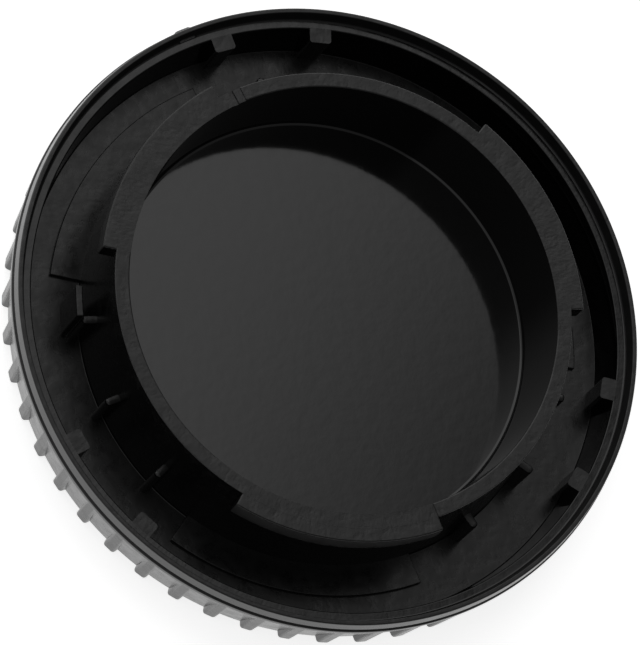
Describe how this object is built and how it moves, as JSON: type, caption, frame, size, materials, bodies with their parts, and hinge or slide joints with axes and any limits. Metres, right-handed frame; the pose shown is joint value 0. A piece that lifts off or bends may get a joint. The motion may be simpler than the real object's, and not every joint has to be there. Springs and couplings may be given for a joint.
{
  "type": "camera body cap",
  "caption": "Black round bayonet cap for a camera body, with a toothed grip, a thin lip, a deep round recess and a ring with locking lugs.",
  "frame": {"origin": "centre of the flat front face, which the cap lies on", "axes": "+Z along the cap's axis towards the camera side; +X is a free choice, with the first lug starting near it"},
  "size_m": [0.061, 0.061, 0.0118],
  "materials": {
    "black_plastic": "satin, finely textured"
  },
  "bodies": {
    "root": {"body_cap": "black_plastic"}
  },
  "joints": []
}
